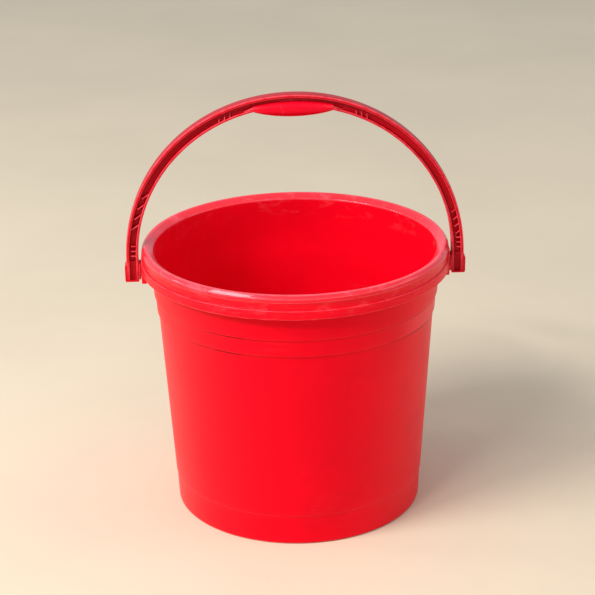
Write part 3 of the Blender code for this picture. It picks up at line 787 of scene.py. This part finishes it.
def flanged_section(bm, handle):
    """Closed wire of the I-section: X runs inwards from the outer face, Y is the depth."""
    half, web, flange = handle.depth / 2, handle.web / 2, handle.flange
    thickness, crown, outer = LEG_THICKNESS, 0.3 * MM, flange + OUTER_FLANGE_EXTRA
    front = [
        (0, 0.02 * MM, 0), (crown * 0.35, 0.6 * half, 2 * MM),
        (crown, half, 1.1 * MM), (outer, half, 0.55 * MM), (outer + 0.35 * MM, web, 0.8 * MM),
        (thickness - flange - 0.35 * MM, web, 0.8 * MM), (thickness - flange, half, 0.55 * MM),
        (thickness - 0.2 * MM, half, 0.75 * MM), (thickness, 0.02 * MM, 0),
    ]
    corners = front + [(x, -y, r) for x, y, r in reversed(front)]
    verts = [bm.verts.new((x, y, 0)) for x, y, r in corners]
    for first, second in zip(verts, verts[1:] + verts[:1]):
        bm.edges.new((first, second))
    round_corners(bm, verts, [r for x, y, r in corners])


def extrude_ring(bm, edges):
    """Extrudes a wire and returns its new vertices and its new edges."""
    made = bmesh.ops.extrude_edge_only(bm, edges=edges)["geom"]
    verts = only_verts(made)
    new = set(verts)
    return verts, [item for item in made if isinstance(item, bmesh.types.BMEdge)
                   and all(vert in new for vert in item.verts)]


def sweep(bm, stations):
    """Carries the wire in a bmesh through the stations and closes both ends."""
    bmesh.ops.transform(bm, matrix=stations[0], verts=bm.verts)
    edges = bm.edges[:]
    bmesh.ops.edgeloop_fill(bm, edges=edges)
    for before, after in zip(stations, stations[1:]):
        verts, edges = extrude_ring(bm, edges)
        bmesh.ops.transform(bm, matrix=after @ before.inverted(), verts=verts)
    bmesh.ops.edgeloop_fill(bm, edges=edges)
    bmesh.ops.recalc_face_normals(bm, faces=bm.faces)


def add_rib(bm, start, end, thickness, half_depth):
    """A thin plate that stands on the line from start to end, through the web."""
    run = end - start
    made = add_block(bm, (0, -half_depth, -thickness / 2), (run.length, half_depth, thickness / 2),
                     0.28 * thickness, 2)
    turn = Matrix.Rotation(-math.atan2(run.z, run.x), 4, "Y")
    bmesh.ops.transform(bm, matrix=Matrix.Translation(start) @ turn, verts=made)


def handle_ribs(handle):
    """Level and slanted ribs of both legs, and the short ones beside the grip."""
    bm = bmesh.new()
    half_depth = handle.depth / 2 - 0.9 * MM
    inner = LEG_THICKNESS - handle.flange / 2
    outer = handle.flange / 2
    reach = 4.6 * MM + handle.flange / 2
    for drop in (0, 4.8 * MM, 9.5 * MM):
        z = PIVOT_Z + 25 * MM - drop
        for start in (-arch_half_width(z, inner), arch_half_width(z, outer)):
            add_rib(bm, Vector((start, 0, z)), Vector((start - reach, 0, z)), handle.rib, half_depth)
    for side, inset, z, step, run, fall in ((-1, inner, 47 * MM, 10 * MM, 8.3 * MM, 5.6 * MM),
                                            (1, outer, 33 * MM, 7 * MM, 5.4 * MM, 4.2 * MM)):
        for i in range(4):
            foot = PIVOT_Z + z + i * step
            x = side * arch_half_width(foot, inset)
            add_rib(bm, Vector((x, 0, foot)), Vector((x - run, 0, foot - fall)), handle.rib, half_depth)
    for x in (58 * MM, 63 * MM, 68 * MM):
        z = arch_height(x, CROWN_THICKNESS - handle.flange / 2)
        for side in (-1, 1):
            foot, tip = Vector((side * x, 0, z)), Vector((side * (x - 0.6 * MM), 0, z + 4.2 * MM))
            add_rib(bm, foot, tip, handle.rib, half_depth)
    return bm


def hubs(handle):
    """Blocks at the legs' feet: full depth, with a sloping shoulder and a chamfered foot."""
    bm = bmesh.new()
    shy = 0.06 * MM                  # stands off the leg's faces so that no two faces coincide
    outer, leg = HANDLE_HIGH.x, HANDLE_HIGH.x - HUB_STEP - shy
    inner, low = HANDLE_HIGH.x - HUB_STEP - LEG_THICKNESS + shy, HANDLE_LOW.z
    half = handle.depth / 2 - shy
    outline = [(inner, low), (outer - 0.6 * MM, low), (outer, low + 2 * MM), (outer, HUB_TOP_Z - 4.8 * MM),
               (leg, HUB_TOP_Z - 1.8 * MM), (leg, HUB_TOP_Z), (inner, HUB_TOP_Z)]
    face = bm.faces.new([bm.verts.new((x, -half, z)) for x, z in outline])
    made = bmesh.ops.extrude_face_region(bm, geom=[face])["geom"]
    bmesh.ops.translate(bm, vec=(0, 2 * half, 0), verts=only_verts(made))
    bmesh.ops.recalc_face_normals(bm, faces=bm.faces)
    bmesh.ops.bevel(bm, geom=[e for e in bm.edges if e.calc_face_angle(0) > 0.5], offset=0.5 * MM,
                    segments=3, profile=0.5, material=-1, affect="EDGES")
    mirrored_pair(bm)
    return bm


def hub_recesses(handle):
    """Cutters for the recess in each hub's front and back face and for its pin's socket."""
    bm = bmesh.new()
    half, floor = handle.depth / 2, 3.1 * MM
    outer = HANDLE_HIGH.x - HUB_STEP - handle.flange - OUTER_FLANGE_EXTRA
    face = HANDLE_HIGH.x - HUB_STEP - LEG_THICKNESS
    for side in (-1, 1):
        low_y, high_y = sorted((side * floor, side * (half + 2 * MM)))
        add_block(bm, (face + handle.flange, low_y, HANDLE_LOW.z + 1.8 * MM),
                  (outer, high_y, HUB_TOP_Z + 2 * MM), 0.5 * MM, 2)
    socket = bmesh.ops.create_cone(bm, cap_ends=True, segments=32, radius1=2.85 * MM, radius2=2.85 * MM,
                                   depth=9.6 * MM)["verts"]
    lay_along_x(bm, socket, face + 4 * MM)
    mirrored_pair(bm)
    return bm


def grip_seat(handle, half_length):
    """Cutter for the part of the crown that the palm grip takes the place of."""
    bm = bmesh.new()
    steps = 24
    xs = [half_length * (2 * i / steps - 1) for i in range(steps + 1)]
    row = [bm.verts.new((x, -handle.depth, arch_height(x, GRIP_NECK))) for x in xs]
    edges = [bm.edges.new(pair) for pair in zip(row, row[1:])]
    floor = HANDLE_HIGH.z - 2.5 * CROWN_THICKNESS
    for vert in extrude_ring(bm, edges)[0]:
        vert.co.z = floor
    back = bmesh.ops.extrude_face_region(bm, geom=bm.faces[:])["geom"]
    bmesh.ops.translate(bm, vec=(0, 2 * handle.depth, 0), verts=only_verts(back))
    bmesh.ops.recalc_face_normals(bm, faces=bm.faces)
    return bm


def loft(bm, xs, place, around):
    """A closed body whose ring at each x is placed by a function of x and of the turn."""
    turn = bm.verts.layers.float.new("turn")
    ring = bmesh.ops.create_circle(bm, cap_ends=False, segments=around, radius=1)["verts"]
    for vert in ring:
        vert[turn] = math.atan2(vert.co.y, vert.co.x)
    edges = bm.edges[:]
    for vert in ring:
        vert.co = place(xs[0], vert[turn])
    bmesh.ops.edgeloop_fill(bm, edges=edges)
    for x in xs[1:]:
        verts, edges = extrude_ring(bm, edges)
        for vert in verts:
            vert.co = place(x, vert[turn])
    bmesh.ops.edgeloop_fill(bm, edges=edges)
    bm.verts.layers.float.remove(turn)
    bmesh.ops.recalc_face_normals(bm, faces=bm.faces)


def grip_tails(handle):
    """Swells in the channels that run out from both ends of the palm grip."""
    start, end = GRIP_HIGH.x - 0.3 * MM, GRIP_HIGH.x + 17 * MM
    bm = bmesh.new()

    def place(x, turn):
        fade = max(0.0, 1 - (x - start) / (end - start))
        low = arch_height(x, CROWN_THICKNESS - 0.6 * handle.flange)
        height = (CROWN_THICKNESS - 0.6 * handle.flange - GRIP_NECK) * (0.05 + 0.95 * fade ** 1.3)
        depth = handle.web / 2 * 0.8 + (handle.depth / 2 - 0.35 * MM - handle.web / 2) * fade ** 0.8
        c, s = math.cos(turn), math.sin(turn)
        return Vector((x, depth * math.copysign(abs(c) ** 0.8, c), low + height * (0.5 + 0.5 * s)))

    spans = 14
    loft(bm, [start + (end - start) * i / spans for i in range(spans + 1)], place, around=28)
    mirrored_pair(bm)
    return bm


class BUCKET_OT_bail_handle(bpy.types.Operator):
    """Sweeps the flanged arch and adds its hubs and ribs"""

    bl_idname = "bucket.bail_handle"
    bl_label = "Bail handle"

    def execute(self, context):
        handle = context.scene.bucket_handle
        finish = context.scene.bucket_finish
        bm = bmesh.new()
        flanged_section(bm, handle)
        sweep(bm, arch_stations(handle.steps))
        bm = join_solids(bm, hubs(handle), "UNION")
        bm = join_solids(bm, hub_recesses(handle), "DIFFERENCE")
        bm = join_solids(bm, handle_ribs(handle), "UNION")
        bm = join_solids(bm, grip_tails(handle), "UNION")
        bm = join_solids(bm, grip_seat(handle, GRIP_HIGH.x - 0.1 * MM), "DIFFERENCE")
        material = handle_plastic("handle_plastic", finish.handle_red, finish, 0.36, 0.62, 0.45)
        finish_piece(bm, "bail_handle_arch", material, "handle", ["bail_handle"])
        return {"FINISHED"}


# ------------------------------------------------------------------ palm grip

GRIP_NECK = 6.6 * MM                 # from the top of the arch to the grip's upper edge
GRIP_BULGE = 5.8 * MM


def grip_point(x, turn):
    """Where a turn round the grip's section lies at a place along it."""
    share = min(1.0, abs(x) / GRIP_HIGH.x)
    body = 1 - share ** 2
    top = arch_height(x, GRIP_NECK)
    bottom = arch_height(GRIP_HIGH.x, CROWN_THICKNESS) - GRIP_BULGE * body ** 0.8
    half_depth = 0.82 * GRIP_HIGH.y + 0.18 * GRIP_HIGH.y * body ** 0.6
    squareness = 0.62 + 0.30 * body ** 0.5
    c, s = math.cos(turn), math.sin(turn)
    across = half_depth * math.copysign(abs(c) ** squareness, c)
    height = (top + bottom) / 2 + (top - bottom) / 2 * math.copysign(abs(s) ** squareness, s)
    return Vector((x, across, height))


class BUCKET_OT_palm_grip(bpy.types.Operator):
    """Lofts the convex palm grip under the crown"""

    bl_idname = "bucket.palm_grip"
    bl_label = "Palm grip"

    def execute(self, context):
        finish = context.scene.bucket_finish
        bm = bmesh.new()
        half, spans = GRIP_HIGH.x - 0.05 * MM, 44
        xs = [-half * math.cos(math.pi * i / spans) for i in range(spans + 1)]
        loft(bm, xs, grip_point, around=56)
        material = handle_plastic("grip_plastic", finish.grip_red, finish, 0.32, 0.35)
        finish_piece(bm, "palm_grip_swell", material, "handle", ["palm_grip"])
        return {"FINISHED"}


# ----------------------------------------------------------------------- pins

def pin_corners():
    """(radius, distance along the pin, rounding) corners from the root to the snap head."""
    shoulder = PIN_HIGH.x - 8.5 * MM
    collar_back = shoulder - 1.5 * MM
    tip = PIN_LOW.x
    return [
        (0, PIN_HIGH.x, 0), (2.6 * MM, PIN_HIGH.x, 0.4 * MM), (2.6 * MM, shoulder, 0.2 * MM),
        (PIN_HIGH.y, shoulder, 0.35 * MM), (PIN_HIGH.y, collar_back, 0.35 * MM),
        (4.2 * MM, collar_back, 0.2 * MM), (4.2 * MM, tip + 3.2 * MM, 0.1 * MM),
        (5.2 * MM, tip + 2.9 * MM, 0.3 * MM), (3.2 * MM, tip, 0.6 * MM), (0, tip, 0),
    ]


class BUCKET_OT_pivot_pins(bpy.types.Operator):
    """Turns both snap pins and slots their heads"""

    bl_idname = "bucket.pivot_pins"
    bl_label = "Pivot pins"

    def execute(self, context):
        finish = context.scene.bucket_finish
        material = handle_plastic("pin_plastic", finish.handle_red, finish, 0.38, 0.5)
        for side, word in ((-1, "left"), (1, "right")):
            bm = bmesh.new()
            rounded_chain(bm, pin_corners())
            spin_round(bm, 64)
            lay_along_x(bm, bm.verts, 0)
            slot = bmesh.new()
            add_block(slot, (PIN_LOW.x - MM, -0.6 * MM, PIVOT_Z - 8 * MM),
                      (PIN_LOW.x + 4.6 * MM, 0.6 * MM, PIVOT_Z + 8 * MM))
            bm = join_solids(bm, slot, "DIFFERENCE")
            bmesh.ops.scale(bm, vec=(side, 1, 1), verts=bm.verts)
            bmesh.ops.recalc_face_normals(bm, faces=bm.faces)
            finish_piece(bm, "snap_pin_" + word, material, "handle", ["pivot_pin_" + word])
        return {"FINISHED"}


# ---------------------------------------------------------------------- stage

# name, share of the key light's power, size, azimuth, elevation and distance
LIGHTS = (
    ("key", 1, (1.1, 1.1), 60, 43, 2.8),
    ("window", 0.30, (0.6, 0.13), 33, 44, 2.8),
    ("side", 0.10, (0.4, 0.4), 98, 24, 2.6),
    ("fill", 0.14, (1.4, 1.4), -80, 18, 2.6),
)


def area_light(name, power, size, azimuth, elevation, distance):
    """A rectangular soft light aimed at the middle of the bucket; azimuth 0 is in front, 90 left."""
    data = bpy.data.lights.new(name, "AREA")
    data.shape = "RECTANGLE"
    data.energy = power
    data.size, data.size_y = size
    item = bpy.data.objects.new(name, data)
    bpy.context.scene.collection.objects.link(item)
    azimuth, elevation = math.radians(azimuth), math.radians(elevation)
    target = Vector((0, 0, TUB_HIGH.z / 2))
    back = Vector((-math.sin(azimuth) * math.cos(elevation), -math.cos(azimuth) * math.cos(elevation),
                   math.sin(elevation)))
    item.location = target + back * distance
    item.rotation_euler = (-back).to_track_quat("-Z", "Y").to_euler()


class BUCKET_OT_stage(bpy.types.Operator):
    """Adds the floor, the lights and the camera"""

    bl_idname = "bucket.stage"
    bl_label = "Stage"

    def execute(self, context):
        scene = context.scene
        settings = scene.bucket_stage
        bm = bmesh.new()
        bmesh.ops.create_grid(bm, x_segments=4, y_segments=4, size=6)
        floor = object_from(bm, "floor")
        floor.data.materials.append(floor_material(settings.floor_colour))
        floor.location.z = -0.3 * MM

        world = bpy.data.worlds.new("studio")
        world.use_nodes = True
        sky = world.node_tree.nodes["Background"]
        sky.inputs["Color"].default_value = (0.82, 0.90, 1.0, 1)
        sky.inputs["Strength"].default_value = settings.fill
        scene.world = world
        for name, share, *rest in LIGHTS:
            area_light(name, share * settings.key_power, *rest)

        data = bpy.data.cameras.new("camera")
        data.lens = settings.lens
        data.sensor_width = 36
        data.clip_start = 0.05
        camera = bpy.data.objects.new("camera", data)
        around = Matrix.Rotation(settings.heading, 4, "Z")
        place = Matrix.Translation((0.0015, -settings.distance, settings.camera_height))
        look = Matrix.Rotation(math.pi / 2 - settings.pitch, 4, "X")
        camera.matrix_world = around @ place @ look @ Matrix.Rotation(settings.roll, 4, "Z")
        scene.collection.objects.link(camera)
        scene.camera = camera
        scene.view_settings.view_transform = "Standard"
        return {"FINISHED"}


class BUCKET_PT_panel(bpy.types.Panel):
    """Lists the bucket's pieces and their settings"""

    bl_label = "Bail Handle Bucket"
    bl_idname = "BUCKET_PT_panel"
    bl_space_type = "VIEW_3D"
    bl_region_type = "UI"
    bl_category = "Bucket"

    def draw(self, context):
        layout = self.layout
        for operator in PIECES:
            layout.operator(operator.bl_idname)
        for name in SETTINGS:
            box = layout.box()
            group = getattr(context.scene, name)
            for prop in group.__annotations__:
                box.prop(group, prop)


SETTINGS = {
    "bucket_tub": BucketTubSettings,
    "bucket_handle": BucketHandleSettings,
    "bucket_finish": BucketFinishSettings,
    "bucket_stage": BucketStageSettings,
}
PIECES = (BUCKET_OT_tub, BUCKET_OT_bail_handle, BUCKET_OT_palm_grip, BUCKET_OT_pivot_pins,
          BUCKET_OT_stage)


def register():
    for item in (*SETTINGS.values(), *PIECES, BUCKET_PT_panel):
        bpy.utils.register_class(item)
    for name, settings in SETTINGS.items():
        setattr(bpy.types.Scene, name, PointerProperty(type=settings))


def unregister():
    for name in SETTINGS:
        delattr(bpy.types.Scene, name)
    for item in reversed((*SETTINGS.values(), *PIECES, BUCKET_PT_panel)):
        bpy.utils.unregister_class(item)


def main():
    register()
    build_node_groups()
    bpy.ops.bucket.tub()
    bpy.ops.bucket.bail_handle()
    bpy.ops.bucket.palm_grip()
    bpy.ops.bucket.pivot_pins()
    bpy.ops.bucket.stage()


if __name__ == "__main__":
    main()
